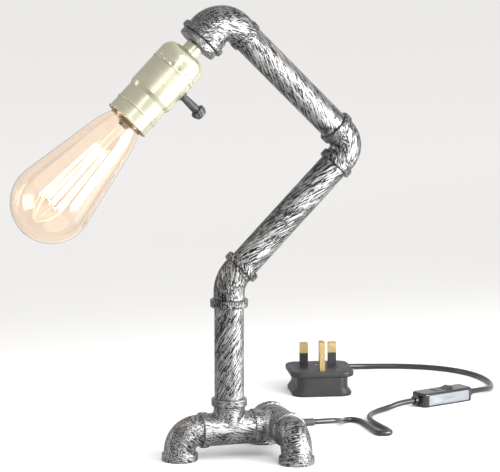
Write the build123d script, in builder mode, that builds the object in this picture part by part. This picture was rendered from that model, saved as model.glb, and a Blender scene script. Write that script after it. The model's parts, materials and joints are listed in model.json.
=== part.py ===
# Industrial table lamp built from half-inch pipe fittings.
#
# Two tees joined end to end stand on three street elbows. A column rises from the first tee
# to a 45 degree elbow, and two arms with a 90 degree elbow between them carry the head, a
# reducing elbow that holds a turn-knob lampholder with a pear-shaped filament bulb. The flex
# runs inside the pipes, and a free cord with a rocker switch and a three-pin plug lies behind.
#
# Millimetres, +Z up, standing on z = 0. X runs along the first tee and the arms, with the bulb
# on the -X side. The origin is under the middle of the lamp without its cord.

import os
from math import cos, pi, radians, sin, sqrt, tan

from build123d import *

os.makedirs("parts", exist_ok=True)

# ---------------------------------------------------------------- pipe and threads
pipe_diameter = 21.3
pipe_bore = 16.1
thread_diameter = 19.8  # half-inch pipe thread, plain at its pitch line
thread_length = 8.6
socket_depth = 9.0
running_gap = 0.05  # radial, between a thread and its socket
shoulder_gap = 0.2  # between a pipe's full diameter and the collar's face
end_chamfer = 0.5

# ---------------------------------------------------------------- fittings
body_diameter = 22.7
tee_body_diameter = 24.0
collar_diameter = 26.0
collar_width = 5.8
collar_rounding = 1.1
elbow_reach = 20.8  # corner of a right-angle elbow to its face
elbow_bend = 13.4
street_reach = 15.0  # centre of a street elbow to the collar that its male end fills
tee_reach = 22.4
leg_tee_reach = 16.1  # centre of the leg tee to the collar that its male branch fills
tee_fillet = 2.0

bend_collar_diameter = 27.3
bend_body_diameter = 22.4
bend_lower_reach = 19.2
bend_upper_reach = 16.2
bend_radius = 21.0

head_arm_reach = 24.2
head_arm_collar = 24.0
head_arm_collar_width = 5.2
head_lamp_reach = 24.6
head_lamp_body = 30.2
head_lamp_collar = 34.8
head_lamp_collar_width = 4.4
head_bend = 15.5
head_socket_diameter = 25.4
head_socket_depth = 7.6

# ---------------------------------------------------------------- column and arms
column_length = 66.6  # between collars
lower_arm_length = 95.5
upper_arm_length = 92.3
arm_tilt = 45.0  # lower arm from the vertical

# ---------------------------------------------------------------- flex and its exit
flex_diameter = 4.2
sleeve_gap = 0.05  # radial, round the flex, its sleeves and the switch bush
flex_turn = 7.5
sleeve_end_diameter = 5.5
sleeve_root_diameter = 6.4
sleeve_length = 14.0  # outside the leg tee
sleeve_flange_diameter = 9.0
sleeve_flange_thickness = 1.5

# ---------------------------------------------------------------- head bushing and nipple
bushing_diameter = 30.2
bushing_length = 5.0
bushing_plug_length = 7.2
nipple_diameter = 10.0
nipple_bore = 7.0
nipple_entry = 6.6  # how far the nipple enters the bushing's plug
nipple_stand = 1.5  # how far it stands past the locknut
locknut_diameter = 15.0
locknut_thickness = 2.6

# ---------------------------------------------------------------- lampholder
brass = 0.6
neck_diameter = 13.4
neck_length = 7.9
neck_rounding = 0.8
cap_diameter = 35.4
cap_height = 17.2
cap_rounding = 8.5
shell_diameter = 35.0
shell_overlap = 5.0
shell_upper_length = 22.6
shell_cone_length = 3.2
shell_lower_diameter = 32.6
shell_lower_length = 11.7
shell_skirt_length = 10.2
rim_bead_radius = 0.7
sheet_gap = 0.1  # between the cap, the shell and the liner
liner_thickness = 0.7
interior_gap = 0.3
interior_clearance = 3.0
seat_depth = 32.4  # shell's rim to the insulating body's face
screw_shell_bore = 27.0
screw_shell_wall = 0.6
screw_shell_length = 27.0
contact_thickness = 1.2
contact_width = 7.0
contact_length = 9.1
contact_rounding = 1.75
terminal_diameter = 5.0
terminal_thread = 2.5
terminal_head = 1.6
terminal_recess = 2.6
terminal_setback = 8.0  # insulating body's top to the terminal screws

# ---------------------------------------------------------------- turn knob
knob_drop = 7.3  # cap's rim to the knob's axis
shaft_diameter = 3.2
shaft_root = 4.0
switch_bush_diameter = 8.4
switch_bush_bore = 4.8
switch_bush_stand = 0.7
knob_stem_diameter = 4.6  # inside the bush
knob_stem_root = 5.2
knob_stem_flare = 6.6
knob_reach = 38.4
knob_seat = 16.0  # inner end of the stem, from the lampholder's axis
knob_bore_depth = 12.0
knob_head_diameter = 10.6
knob_head_length = 5.6
knob_head_bevel = 1.4
knob_flutes = 12
knob_flute_diameter = 1.8
knob_flute_depth = 0.5

# ---------------------------------------------------------------- bulb
bulb_length = 138.2
bulb_diameter = 58.4
bulb_taper = 10.8  # half angle of the cone between the neck and the round end
bulb_neck_diameter = 25.4
bulb_neck_end = 31.8  # from the contact's tip
bulb_shoulder_end = 48.4
glass_wall = 1.0
lamp_cap_diameter = 26.2
lamp_cap_wall = 0.3
lamp_cap_length = 24.0
lamp_cap_base_diameter = 17.0
lamp_cap_base_height = 2.0
lamp_contact_diameter = 9.0
lamp_contact_height = 0.8
lamp_insulator_height = 2.2
contact_gap = 0.3
stem_foot_height = 9.0
stem_diameter = 6.0
stem_length = 34.0
stem_rod_diameter = 2.0
stem_rod_length = 52.0
filament_wire = 0.6
filament_top_radius = 5.5
filament_bottom_radius = 10.0
filament_strands = 10
filament_margin = 3.0
filament_fold = 0.4  # width of the wire's turn at a circle, in steps between strands
support_wire = 0.5

# ---------------------------------------------------------------- in-line switch
switch_length = 48.0
switch_width = 17.0
switch_corner = 3.5
switch_base_height = 5.2
switch_cover_height = 5.6
switch_wall = 1.6
switch_rounding = 1.6
switch_nozzle_length = 4.0
switch_nozzle_diameter = 7.0
switch_screw_place = 16.0  # toward the plug's end of the switch
screw_boss_diameter = 5.6
screw_head_diameter = 4.0
screw_head_height = 1.2
screw_diameter = 2.0
screw_length = 5.5
screw_recess = 2.0
rocker_width = 7.0
rocker_radius = 9.0
rocker_stand = 1.2  # raised ends above the cover
rocker_dip = 1.0
rocker_tail = 2.6  # below the pin
rocker_gap = 0.4
rocker_angle = 8.0
rocker_pin_diameter = 1.6
rocker_pin_depth = 4.4  # cover's top to the pin
rocker_pin_hold = 0.8  # into each wall
switch_contact_length = 9.0
switch_contact_width = 3.0
switch_contact_thickness = 0.8
switch_contact_pitch = 16.0
switch_contact_shift = 1.0  # of one contact, clear of the screw boss
switch_screw_gap = 0.4
lead_length = 3.0  # flex inside the wall of the switch or the plug
switch_centre = (212.0, 120.5)  # from the column's axis
switch_heading = 18.0

# ---------------------------------------------------------------- plug
plug_width = 48.0
plug_length = 45.0
plug_corner = 9.0
plug_cover_height = 15.0
plug_foot_width = 46.4
plug_foot_height = 2.6
plug_foot_rounding = 1.2
plug_waist_width = 40.0
plug_waist_corner = 7.0
plug_waist_start = 6.2  # above the floor
plug_lip = 0.8
plug_wall = 3.0
plug_face_thickness = 4.6
plug_face_rounding = 1.5
pin_spacing = 22.2
pin_offset = 22.2
line_pin_width = 6.35
line_pin_thickness = 4.0
line_pin_length = 17.7
earth_pin_width = 4.0
earth_pin_thickness = 8.0
earth_pin_length = 22.7
pin_root = 5.0  # held inside the face plate and below it
pin_gap = 0.05
pin_sleeve_length = 9.5
pin_sleeve_wall = 0.5
pin_from_edge = 13.4  # line pins' centres from the plug's cord edge
carrier_length = 28.0
carrier_width = 8.4
carrier_depth = 9.0
carrier_offset = 10.1  # ahead of the line pins
carrier_gap = 0.3
fuse_diameter = 6.3
fuse_length = 25.4
fuse_cap_length = 5.6
carrier_wall = 1.0
plug_screw_head = 6.4
plug_screw_head_height = 2.0
plug_screw_recess = 2.6
plug_screw_gap = 0.4
plug_screw_diameter = 3.0
plug_screw_length = 10.0
plug_boss_diameter = 8.0
relief_flange_diameter = 10.8
relief_flange_thickness = 1.2
relief_length = 20.0
relief_root_diameter = 9.0
relief_end_diameter = 5.6
relief_height = 8.6
plug_front = (132.0, 168.0)  # middle of the edge away from the cord, from the column's axis
plug_heading = 78.5

# ---------------------------------------------------------------- cord
# Corners of the cord's route from the column's axis: x, y and the height of its centre.
lamp_side_corners = [
    (86.0, 5.5, 19.2), (92.0, 18.0, 16.0), (97.2, 32.5, 12.4), (102.3, 47.5, 8.8),
    (107.6, 62.0, 5.2), (113.6, 74.0, 2.6), (121.0, 79.0, 2.1), (127.0, 72.6, 2.1),
    (127.0, 60.0, 2.1), (126.2, 47.0, 2.1), (125.4, 35.6, 2.1), (125.2, 26.0, 2.1),
    (134.8, 25.6, 2.1), (135.4, 35.6, 2.1), (134.9, 47.5, 2.1), (134.2, 61.5, 2.1),
    (135.8, 76.5, 2.1), (141.8, 90.0, 2.1), (151.6, 99.5, 2.2), (163.0, 104.2, 3.2),
]
plug_side_corners = [
    (262.0, 143.5, 3.2), (269.5, 160.0, 2.1), (273.0, 179.0, 2.1), (271.8, 199.5, 2.1),
    (264.0, 220.0, 2.1), (249.5, 237.0, 2.1), (229.5, 249.5, 2.1), (206.5, 257.0, 2.1),
    (184.0, 259.6, 2.9), (166.5, 257.8, 4.8), (154.5, 252.0, 7.2),
]
cord_exit_run = 12.0  # straight run out of a sleeve, nozzle or relief
cord_bend_share = 0.45

# ================================================================ places and directions
pipe_radius = pipe_diameter / 2
bore_radius = pipe_bore / 2
thread_radius = thread_diameter / 2
socket_radius = thread_radius + running_gap
body_radius = body_diameter / 2
collar_radius = collar_diameter / 2
flex_radius = flex_diameter / 2
bulb_radius = bulb_diameter / 2

up = Vector(0, 0, 1)
right = Vector(1, 0, 0)
back = Vector(0, 1, 0)
tilt = radians(arm_tilt)
lower_arm = Vector(sin(tilt), 0, cos(tilt))
upper_arm = Vector(-cos(tilt), 0, sin(tilt))
lamp_axis = -lower_arm
knob_axis = -upper_arm

# Distances along the chain of fittings.
column_height = elbow_reach + tee_reach + column_length + bend_lower_reach
lower_span = bend_upper_reach + lower_arm_length + elbow_reach
upper_span = elbow_reach + upper_arm_length + head_arm_reach

# Distances along the lampholder's axis from the head elbow's centre.
bushing_face = head_lamp_reach + bushing_length
cap_top = bushing_face + neck_length
cap_rim = cap_top + cap_height
shell_top = cap_rim - shell_overlap
shell_shoulder = cap_rim + shell_upper_length
shell_waist = shell_shoulder + shell_cone_length
shell_bead = shell_waist + shell_lower_length
shell_rim = shell_bead + shell_skirt_length
lamp_seat = shell_rim - seat_depth
knob_position = cap_rim + knob_drop
lamp_tip = lamp_seat + contact_thickness + contact_gap
bulb_centre = lamp_tip + bulb_length - bulb_diameter / 2

# The bulb's round end is the lowest x and the knee's outside the highest, so the column
# stands where the middle between them is x = 0.
knee_from_column = lower_span * sin(tilt)
head_from_column = knee_from_column - upper_span * cos(tilt)
bulb_left = head_from_column - bulb_centre * sin(tilt) - bulb_radius
knee_right = knee_from_column + elbow_bend * (1 - sin(tilt) - cos(tilt)) + body_radius
column_x = -(bulb_left + knee_right) / 2

column_foot = Vector(column_x, 0, elbow_reach)  # centre of the column tee
bend_centre = Vector(column_x, 0, column_height)
knee_centre = bend_centre + lower_arm * lower_span
head_centre = knee_centre + upper_arm * upper_span
leg_centre = column_foot + right * (tee_reach + leg_tee_reach)

column_top = bend_centre - up * bend_lower_reach
lower_arm_start = bend_centre + lower_arm * bend_upper_reach
lower_arm_end = knee_centre - lower_arm * elbow_reach
upper_arm_start = knee_centre + upper_arm * elbow_reach
upper_arm_end = head_centre - upper_arm * head_arm_reach


def mouth(point, direction):
    """Plane on a fitting's face, with its normal pointing out of the fitting."""
    return Plane(origin=point, z_dir=direction)


def save(piece, name):
    """Label the finished piece and write its file."""
    piece.part.label = name
    export_step(piece.part, f"parts/{name}.step")


def ring(radius, width, rounding):
    """Rounded collar that ends at z = 0 and reaches back from it."""
    with BuildPart() as collar:
        Cylinder(radius, width, align=(Align.CENTER, Align.CENTER, Align.MAX))
        fillet(collar.edges().filter_by(GeomType.CIRCLE), rounding)
    return collar.part


collar_ring = ring(collar_radius, collar_width, collar_rounding)
bend_collar_ring = ring(bend_collar_diameter / 2, collar_width, collar_rounding)


# ================================================================ tees
def tee(centre, run, branch, branch_is_male):
    """Tee whose run lies along one direction, with a socket or a male thread on its branch."""
    run_ends = [centre + run * tee_reach, centre - run * tee_reach]
    branch_reach = leg_tee_reach if branch_is_male else tee_reach
    branch_end = mouth(centre + branch * branch_reach, branch)
    run_plane = Plane(origin=centre, z_dir=run, x_dir=branch)
    with BuildPart() as fitting:
        with BuildSketch(run_plane):
            Circle(tee_body_diameter / 2)
        extrude(amount=tee_reach, both=True)
        with BuildSketch(mouth(centre, branch)):
            Circle(body_radius)
        extrude(amount=branch_reach)
        fillet(fitting.edges().filter_by(GeomType.BSPLINE), tee_fillet)
        for end in run_ends:
            with Locations(mouth(end, end - centre)):
                add(collar_ring)
            with BuildSketch(mouth(end, end - centre)):
                Circle(socket_radius)
            extrude(amount=-socket_depth, mode=Mode.SUBTRACT)
        if branch_is_male:
            with BuildSketch(branch_end):
                Circle(thread_radius)
            extrude(amount=thread_length)
        else:
            with Locations(branch_end):
                add(collar_ring)
            with BuildSketch(branch_end):
                Circle(socket_radius)
            extrude(amount=-socket_depth, mode=Mode.SUBTRACT)
        with BuildSketch(run_plane):
            Circle(bore_radius)
        extrude(amount=tee_reach, both=True, mode=Mode.SUBTRACT)
        with BuildSketch(mouth(centre, branch)):
            Circle(bore_radius)
        extrude(amount=branch_reach + thread_length, mode=Mode.SUBTRACT)
    return fitting


column_tee = tee(column_foot, right, up, False)
save(column_tee, "column_tee")

# The leg tee's far wall is drilled for the cable sleeve.
leg_wall = leg_centre + right * (tee_body_diameter / 2)
with BuildPart() as leg_tee:
    add(tee(leg_centre, back, -right, True).part)
    with BuildSketch(mouth(leg_centre, right)):
        Circle(sleeve_root_diameter / 2)
    extrude(amount=tee_body_diameter, mode=Mode.SUBTRACT)
save(leg_tee, "leg_tee")


# ================================================================ street elbows as feet
def foot_elbow(toward, tee_centre, name):
    """Street elbow whose male end fills a tee's collar and whose socket stands on the floor."""
    face = tee_centre - toward * tee_reach
    centre = face - toward * street_reach
    floor = mouth(centre - up * elbow_reach, -up)
    with BuildPart() as elbow:
        with BuildLine() as bend:
            FilletPolyline(face, centre, floor.origin, radius=elbow_bend)
        with BuildSketch(mouth(face, toward)):
            Circle(body_radius)
        sweep(path=bend.line)
        with Locations(floor):
            add(collar_ring)
        with BuildSketch(mouth(face, toward)):
            Circle(thread_radius)
        extrude(amount=thread_length)
        with BuildSketch(mouth(face, toward)):
            Circle(bore_radius)
        sweep(path=bend.line, mode=Mode.SUBTRACT)
        with BuildSketch(mouth(face, toward)):
            Circle(bore_radius)
        extrude(amount=thread_length, mode=Mode.SUBTRACT)
        with BuildSketch(floor):
            Circle(socket_radius)
        extrude(amount=-socket_depth, mode=Mode.SUBTRACT)
    save(elbow, name)


foot_elbow(right, column_foot, "left_foot_elbow")
foot_elbow(back, leg_centre, "front_foot_elbow")
foot_elbow(-back, leg_centre, "rear_foot_elbow")


# ================================================================ elbows on the arms
def arm_elbow(first, centre, second, radius, body, collar, name):
    """Female elbow between two faces, with a collar on each."""
    faces = [mouth(first, first - centre), mouth(second, second - centre)]
    with BuildPart() as elbow:
        with BuildLine() as bend:
            FilletPolyline(first, centre, second, radius=radius)
        with BuildSketch(faces[0]):
            Circle(body / 2)
        sweep(path=bend.line)
        for face in faces:
            with Locations(face):
                add(collar)
        with BuildSketch(faces[0]):
            Circle(bore_radius)
        sweep(path=bend.line, mode=Mode.SUBTRACT)
        for face in faces:
            with BuildSketch(face):
                Circle(socket_radius)
            extrude(amount=-socket_depth, mode=Mode.SUBTRACT)
    save(elbow, name)


arm_elbow(column_top, bend_centre, lower_arm_start, bend_radius,
          bend_body_diameter, bend_collar_ring, "elbow_45")
arm_elbow(lower_arm_end, knee_centre, upper_arm_start, elbow_bend,
          body_diameter, collar_ring, "knee_elbow")


# ================================================================ pipes
def threaded_pipe(face, direction, length, name):
    """Pipe between two collars, with a plain thread that enters each of them."""
    start = mouth(face, direction)
    with BuildPart() as pipe:
        with BuildSketch(start.offset(-thread_length)):
            Circle(thread_radius)
        extrude(amount=length + 2 * thread_length)
        chamfer(pipe.edges().filter_by(GeomType.CIRCLE), end_chamfer)
        with BuildSketch(start.offset(shoulder_gap)):
            Circle(pipe_radius)
        extrude(amount=length - 2 * shoulder_gap)
        with BuildSketch(start.offset(-thread_length)):
            Circle(bore_radius)
        extrude(amount=length + 2 * thread_length, mode=Mode.SUBTRACT)
    save(pipe, name)


threaded_pipe(column_foot + up * tee_reach, up, column_length, "column_pipe")
threaded_pipe(lower_arm_start, lower_arm, lower_arm_length, "lower_arm_pipe")
threaded_pipe(upper_arm_start, upper_arm, upper_arm_length, "upper_arm_pipe")


# ================================================================ head elbow
head_face = head_centre + lamp_axis * head_lamp_reach
with BuildPart() as head_elbow:
    with BuildLine() as head_path:
        FilletPolyline(upper_arm_end, head_centre, head_face, radius=head_bend)
    bend_start = head_centre - upper_arm * head_bend
    bend_end = head_centre + lamp_axis * head_bend
    with BuildLine() as head_arc:
        ThreePointArc(bend_start,
                      head_centre + (lamp_axis - upper_arm) * head_bend * (1 - 1 / sqrt(2)),
                      bend_end)
    with BuildSketch(mouth(bend_start, upper_arm)):
        Circle(body_radius)
    with BuildSketch(mouth(bend_end, lamp_axis)):
        Circle(head_lamp_body / 2)
    sweep(path=head_arc.line, multisection=True)
    with BuildSketch(mouth(bend_start, -upper_arm)):
        Circle(body_radius)
    extrude(amount=head_arm_reach - head_bend)
    with BuildSketch(mouth(bend_end, lamp_axis)):
        Circle(head_lamp_body / 2)
    extrude(amount=head_lamp_reach - head_bend)
    with Locations(mouth(upper_arm_end, -upper_arm)):
        add(ring(head_arm_collar / 2, head_arm_collar_width, collar_rounding / 2))
    with Locations(mouth(head_face, lamp_axis)):
        add(ring(head_lamp_collar / 2, head_lamp_collar_width, collar_rounding))
    with BuildSketch(mouth(upper_arm_end, upper_arm)):
        Circle(bore_radius)
    sweep(path=head_path.line, mode=Mode.SUBTRACT)
    with BuildSketch(mouth(upper_arm_end, -upper_arm)):
        Circle(socket_radius)
    extrude(amount=-socket_depth, mode=Mode.SUBTRACT)
    with BuildSketch(mouth(head_face, lamp_axis)):
        Circle(head_socket_diameter / 2)
    extrude(amount=-head_socket_depth, mode=Mode.SUBTRACT)
save(head_elbow, "head_elbow")


# ================================================================ cable sleeve and inner flex
sleeve_end = leg_wall + right * sleeve_length
flange_seat = sqrt(bore_radius**2 - (sleeve_flange_diameter / 2) ** 2)
with BuildPart() as cable_sleeve:
    with BuildSketch(mouth(leg_centre + right * flange_seat, right)):
        Circle(sleeve_root_diameter / 2 - sleeve_gap)
    extrude(amount=tee_body_diameter / 2 - flange_seat)
    with BuildSketch(mouth(leg_centre + right * flange_seat, -right)):
        Circle(sleeve_flange_diameter / 2)
    extrude(amount=sleeve_flange_thickness)
    with BuildSketch(mouth(leg_wall, right)):
        Circle(sleeve_root_diameter / 2 - sleeve_gap)
    with BuildSketch(mouth(sleeve_end, right)):
        Circle(sleeve_end_diameter / 2)
    loft()
    with BuildSketch(mouth(leg_centre, right)):
        Circle(flex_radius + sleeve_gap)
    extrude(amount=tee_body_diameter / 2 + sleeve_length, mode=Mode.SUBTRACT)
save(cable_sleeve, "cable_sleeve")


def flex_tube(points, radii, name):
    """Round flex along straight runs joined by tangent arcs."""
    with BuildPart() as flex:
        with BuildLine() as route:
            FilletPolyline(*points, radius=radii)
        with BuildSketch(Plane(origin=route.line @ 0, z_dir=route.line % 0)):
            Circle(flex_radius)
        sweep(path=route.line)
    save(flex, name)
    return flex, route


interior_top = cap_top + brass + locknut_thickness + interior_clearance
flex_tube([sleeve_end, column_foot, column_top], flex_turn, "base_flex")
flex_tube([column_top, bend_centre, lower_arm_end], flex_turn, "lower_arm_flex")
flex_tube([lower_arm_end, knee_centre, upper_arm_end], flex_turn, "upper_arm_flex")
flex_tube([upper_arm_end, head_centre, head_centre + lamp_axis * interior_top],
          flex_turn, "head_flex")


# ================================================================ turned pieces of the head
lamp_section = Plane(origin=head_centre, x_dir=knob_axis, z_dir=back)
lamp_line = Axis(head_centre, lamp_axis)
nipple_radius = nipple_diameter / 2
cap_radius = cap_diameter / 2
shell_radius = shell_diameter / 2
shell_lower_radius = shell_lower_diameter / 2
shell_top_radius = cap_radius - brass - sheet_gap
liner_top_radius = shell_top_radius - brass - sheet_gap
liner_lower_radius = shell_lower_radius - brass - sheet_gap
interior_radius = liner_top_radius - liner_thickness - interior_gap


def turned(outline, name=None):
    """Solid of revolution about the lampholder's axis from (radius, distance) points."""
    with BuildPart() as piece:
        with BuildSketch(lamp_section):
            with BuildLine():
                Polyline(*outline, close=True)
            make_face()
        revolve(axis=lamp_line)
    if name:
        save(piece, name)
    return piece


plug_of_bushing = head_socket_diameter / 2 - running_gap
turned([(nipple_radius + running_gap, head_lamp_reach - bushing_plug_length),
        (plug_of_bushing, head_lamp_reach - bushing_plug_length),
        (plug_of_bushing, head_lamp_reach),
        (bushing_diameter / 2 - end_chamfer, head_lamp_reach),
        (bushing_diameter / 2, head_lamp_reach + end_chamfer),
        (bushing_diameter / 2, bushing_face - end_chamfer),
        (bushing_diameter / 2 - end_chamfer, bushing_face),
        (nipple_radius + running_gap, bushing_face)], "head_bushing")

nipple_start = head_lamp_reach - nipple_entry
nipple_end = cap_top + brass + locknut_thickness + nipple_stand
turned([(nipple_bore / 2, nipple_start), (nipple_radius, nipple_start),
        (nipple_radius, nipple_end), (nipple_bore / 2, nipple_end)], "head_nipple")

with BuildPart() as locknut:
    with BuildSketch(mouth(head_centre + lamp_axis * (cap_top + brass), lamp_axis)):
        RegularPolygon(locknut_diameter / 2, 6)
        Circle(nipple_radius + running_gap, mode=Mode.SUBTRACT)
    extrude(amount=locknut_thickness)
save(locknut, "locknut")

# Domed cap with its threaded neck.
with BuildPart() as socket_cap:
    with BuildSketch(lamp_section):
        with BuildLine():
            outside = FilletPolyline((neck_diameter / 2, bushing_face), (neck_diameter / 2, cap_top),
                                     (cap_radius, cap_top), (cap_radius, cap_rim),
                                     radius=[neck_rounding, cap_rounding])
            inside = FilletPolyline((cap_radius - brass, cap_rim),
                                    (cap_radius - brass, cap_top + brass),
                                    (nipple_radius + running_gap, cap_top + brass),
                                    radius=cap_rounding - brass)
            Line(outside @ 1, inside @ 0)
            Polyline(inside @ 1, (nipple_radius + running_gap, bushing_face), outside @ 0)
        make_face()
    revolve(axis=lamp_line)
save(socket_cap, "socket_cap")

# Shell with its swaged top inside the cap, a cone, a bead and a rolled rim.
with BuildPart() as socket_shell:
    with BuildSketch(lamp_section):
        with BuildLine():
            Polyline((shell_top_radius, shell_top), (shell_top_radius, cap_rim + sheet_gap),
                     (shell_radius, cap_rim + sheet_gap), (shell_radius, shell_shoulder),
                     (shell_lower_radius, shell_waist), (shell_lower_radius, shell_rim),
                     (shell_lower_radius - brass, shell_rim),
                     (shell_lower_radius - brass, shell_waist),
                     (shell_radius - brass, shell_shoulder),
                     (shell_radius - brass, cap_rim + sheet_gap + brass),
                     (shell_top_radius - brass, cap_rim + sheet_gap + brass),
                     (shell_top_radius - brass, shell_top), close=True)
        make_face()
        with Locations((shell_lower_radius, shell_bead),
                       (shell_lower_radius, shell_rim - rim_bead_radius)):
            Circle(rim_bead_radius)
    revolve(axis=lamp_line)
    with BuildSketch(mouth(head_centre + lamp_axis * knob_position, knob_axis)):
        Circle(switch_bush_diameter / 2 + sleeve_gap)
    extrude(amount=cap_radius + brass, mode=Mode.SUBTRACT)
save(socket_shell, "socket_shell")

liner_start = shell_top + brass
liner_end = shell_rim - 2 * brass
with BuildPart() as socket_liner:
    add(turned([(liner_top_radius, liner_start), (liner_top_radius, shell_shoulder - brass),
                (liner_lower_radius, shell_waist), (liner_lower_radius, liner_end),
                (liner_lower_radius - liner_thickness, liner_end),
                (liner_lower_radius - liner_thickness, shell_waist),
                (liner_top_radius - liner_thickness, shell_shoulder - brass),
                (liner_top_radius - liner_thickness, liner_start)]).part)
    with BuildSketch(mouth(head_centre + lamp_axis * knob_position, knob_axis)):
        Circle(switch_bush_diameter / 2 + sleeve_gap)
    extrude(amount=cap_radius, mode=Mode.SUBTRACT)
save(socket_liner, "socket_liner")

# Insulating body: screw terminals in recesses on both sides and a blind hole for the shaft.
terminal_at = head_centre + lamp_axis * (interior_top + terminal_setback)
with BuildPart() as socket_interior:
    with BuildSketch(mouth(head_centre + lamp_axis * interior_top, lamp_axis)):
        Circle(interior_radius)
    extrude(amount=lamp_seat - interior_top)
    chamfer(socket_interior.edges().filter_by(GeomType.CIRCLE), end_chamfer)
    for side in (back, -back):
        with BuildSketch(Plane(origin=terminal_at + side * (interior_radius - terminal_recess),
                               x_dir=lamp_axis, z_dir=side)):
            Rectangle(2 * terminal_diameter, 2 * terminal_diameter)
        extrude(amount=terminal_recess, mode=Mode.SUBTRACT)
        with BuildSketch(mouth(terminal_at, side)):
            Circle(terminal_thread / 2)
        extrude(amount=interior_radius, mode=Mode.SUBTRACT)
    with BuildSketch(mouth(head_centre + lamp_axis * knob_position + knob_axis * shaft_root,
                           knob_axis)):
        Circle(shaft_diameter / 2 + running_gap)
    extrude(amount=interior_radius, mode=Mode.SUBTRACT)
save(socket_interior, "socket_interior")

with BuildPart() as terminal_screws:
    for side in (back, -back):
        seat = terminal_at + side * (interior_radius - terminal_recess)
        with BuildSketch(mouth(seat, side)):
            Circle(terminal_diameter / 2)
        extrude(amount=terminal_head)
        with BuildSketch(mouth(seat, -side)):
            Circle(terminal_thread / 2 - running_gap)
        extrude(amount=terminal_diameter)
save(terminal_screws, "terminal_screws")

screw_radius = screw_shell_bore / 2
turned([(contact_width, lamp_seat), (screw_radius + screw_shell_wall, lamp_seat),
        (screw_radius + screw_shell_wall, lamp_seat + screw_shell_length),
        (screw_radius, lamp_seat + screw_shell_length),
        (screw_radius, lamp_seat + screw_shell_wall),
        (contact_width, lamp_seat + screw_shell_wall)], "screw_shell")

with BuildPart() as centre_contact:
    with BuildSketch(Plane(origin=head_centre + lamp_axis * lamp_seat,
                           x_dir=knob_axis, z_dir=lamp_axis)):
        RectangleRounded(contact_width, contact_length, contact_rounding)
    extrude(amount=contact_thickness)
save(centre_contact, "centre_contact")


# ================================================================ turn knob
knob_section = Plane(origin=head_centre + lamp_axis * knob_position, x_dir=lamp_axis, z_dir=-back)
knob_line = Axis(knob_section.origin, knob_axis)


def knob_turned(outline):
    """Solid of revolution about the knob's axis from (radius, reach) points."""
    with BuildPart() as piece:
        with BuildSketch(knob_section):
            with BuildLine():
                Polyline(*outline, close=True)
            make_face()
        revolve(axis=knob_line)
    return piece


bush_reach = shell_radius + switch_bush_stand
save(knob_turned([(switch_bush_bore / 2, interior_radius),
                  (switch_bush_diameter / 2, interior_radius),
                  (switch_bush_diameter / 2, bush_reach),
                  (switch_bush_bore / 2, bush_reach)]), "switch_bush")

shaft_end = knob_seat + knob_bore_depth - end_chamfer
save(knob_turned([(0, shaft_root + end_chamfer), (shaft_diameter / 2, shaft_root + end_chamfer),
                  (shaft_diameter / 2, shaft_end), (0, shaft_end)]), "switch_shaft")

knob_head = knob_reach - knob_head_length
flute_circle = knob_head_diameter / 2 + knob_flute_diameter / 2 - knob_flute_depth
with BuildPart() as turn_knob:
    add(knob_turned([(shaft_diameter / 2 + running_gap, knob_seat),
                     (knob_stem_diameter / 2, knob_seat),
                     (knob_stem_diameter / 2, bush_reach + shoulder_gap),
                     (knob_stem_root / 2, bush_reach + shoulder_gap),
                     (knob_stem_flare / 2, knob_head),
                     (knob_head_diameter / 2 - end_chamfer, knob_head),
                     (knob_head_diameter / 2, knob_head + end_chamfer),
                     (knob_head_diameter / 2, knob_reach - 2 * knob_head_bevel),
                     (knob_head_diameter / 2 - knob_head_bevel, knob_reach),
                     (0, knob_reach),
                     (0, knob_seat + knob_bore_depth),
                     (shaft_diameter / 2 + running_gap, knob_seat + knob_bore_depth)]).part)
    with BuildSketch(Plane(origin=knob_section.origin + knob_axis * knob_head,
                           x_dir=lamp_axis, z_dir=knob_axis)):
        with PolarLocations(flute_circle, knob_flutes):
            Circle(knob_flute_diameter / 2)
    extrude(amount=knob_head_length, mode=Mode.SUBTRACT)
save(turn_knob, "turn_knob")


# ================================================================ bulb
lamp_insulator_start = lamp_tip + lamp_contact_height
lamp_cap_start = lamp_insulator_start + lamp_insulator_height
lamp_cap_end = lamp_cap_start + lamp_cap_length
lamp_cap_radius = lamp_cap_diameter / 2
lamp_base_radius = lamp_cap_base_diameter / 2
turned([(0, lamp_tip), (lamp_contact_diameter / 2, lamp_tip),
        (lamp_contact_diameter / 2, lamp_insulator_start), (0, lamp_insulator_start)],
       "bulb_contact")
turned([(0, lamp_insulator_start), (lamp_contact_diameter / 2, lamp_insulator_start),
        (lamp_base_radius, lamp_cap_start), (0, lamp_cap_start)], "bulb_insulator")
turned([(lamp_base_radius - lamp_cap_wall, lamp_cap_start), (lamp_base_radius, lamp_cap_start),
        (lamp_cap_radius, lamp_cap_start + lamp_cap_base_height),
        (lamp_cap_radius, lamp_cap_end), (lamp_cap_radius - lamp_cap_wall, lamp_cap_end),
        (lamp_cap_radius - lamp_cap_wall, lamp_cap_start + lamp_cap_base_height + lamp_cap_wall),
        (lamp_base_radius - lamp_cap_wall, lamp_cap_start + lamp_cap_wall)], "bulb_cap")

taper = radians(bulb_taper)
neck_start = lamp_cap_end - lamp_cap_length / 2
glass_neck = min(bulb_neck_diameter / 2, lamp_cap_radius - lamp_cap_wall - running_gap)


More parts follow.
